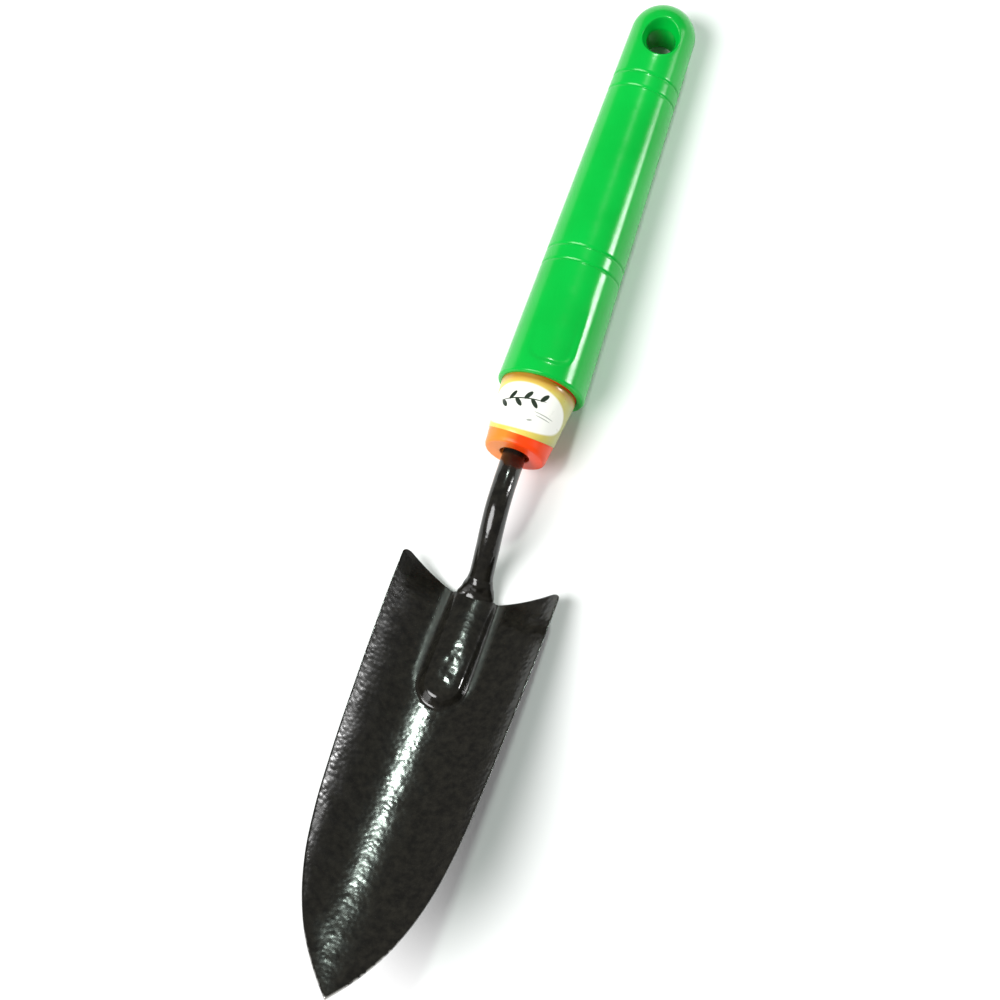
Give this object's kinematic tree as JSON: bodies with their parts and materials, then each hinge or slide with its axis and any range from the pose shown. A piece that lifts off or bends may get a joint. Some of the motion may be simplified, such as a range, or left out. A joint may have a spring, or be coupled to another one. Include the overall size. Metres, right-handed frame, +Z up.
{
  "type": "hand trowel",
  "caption": "Garden hand trowel: black dished pointed blade on a cranked steel shank, in a green moulded grip with a hang hole.",
  "frame": {"origin": "middle of the overall box at ground level, with the trowel lying on the blade's heel and the underside of the grip's butt", "axes": "+Y runs along the tool from the blade's tip to the grip's butt, +Z is up out of the blade's hollow face, +X is across the blade"},
  "size_m": [0.0516, 0.3554, 0.0421],
  "materials": {
    "black_hammered_paint": "glossy hammered black stoving paint on steel",
    "orange_plastic": "satin moulded orange plastic",
    "printed_label": "glossy printed film, yellow to olive with a white oval",
    "green_plastic": "glossy moulded bright green plastic"
  },
  "bodies": {
    "root": {"blade": "black_hammered_paint", "shank": "black_hammered_paint", "shank_weld": "black_hammered_paint", "core_plug": "orange_plastic", "label_wrap": "printed_label", "handle_sleeve": "green_plastic"}
  },
  "joints": []
}
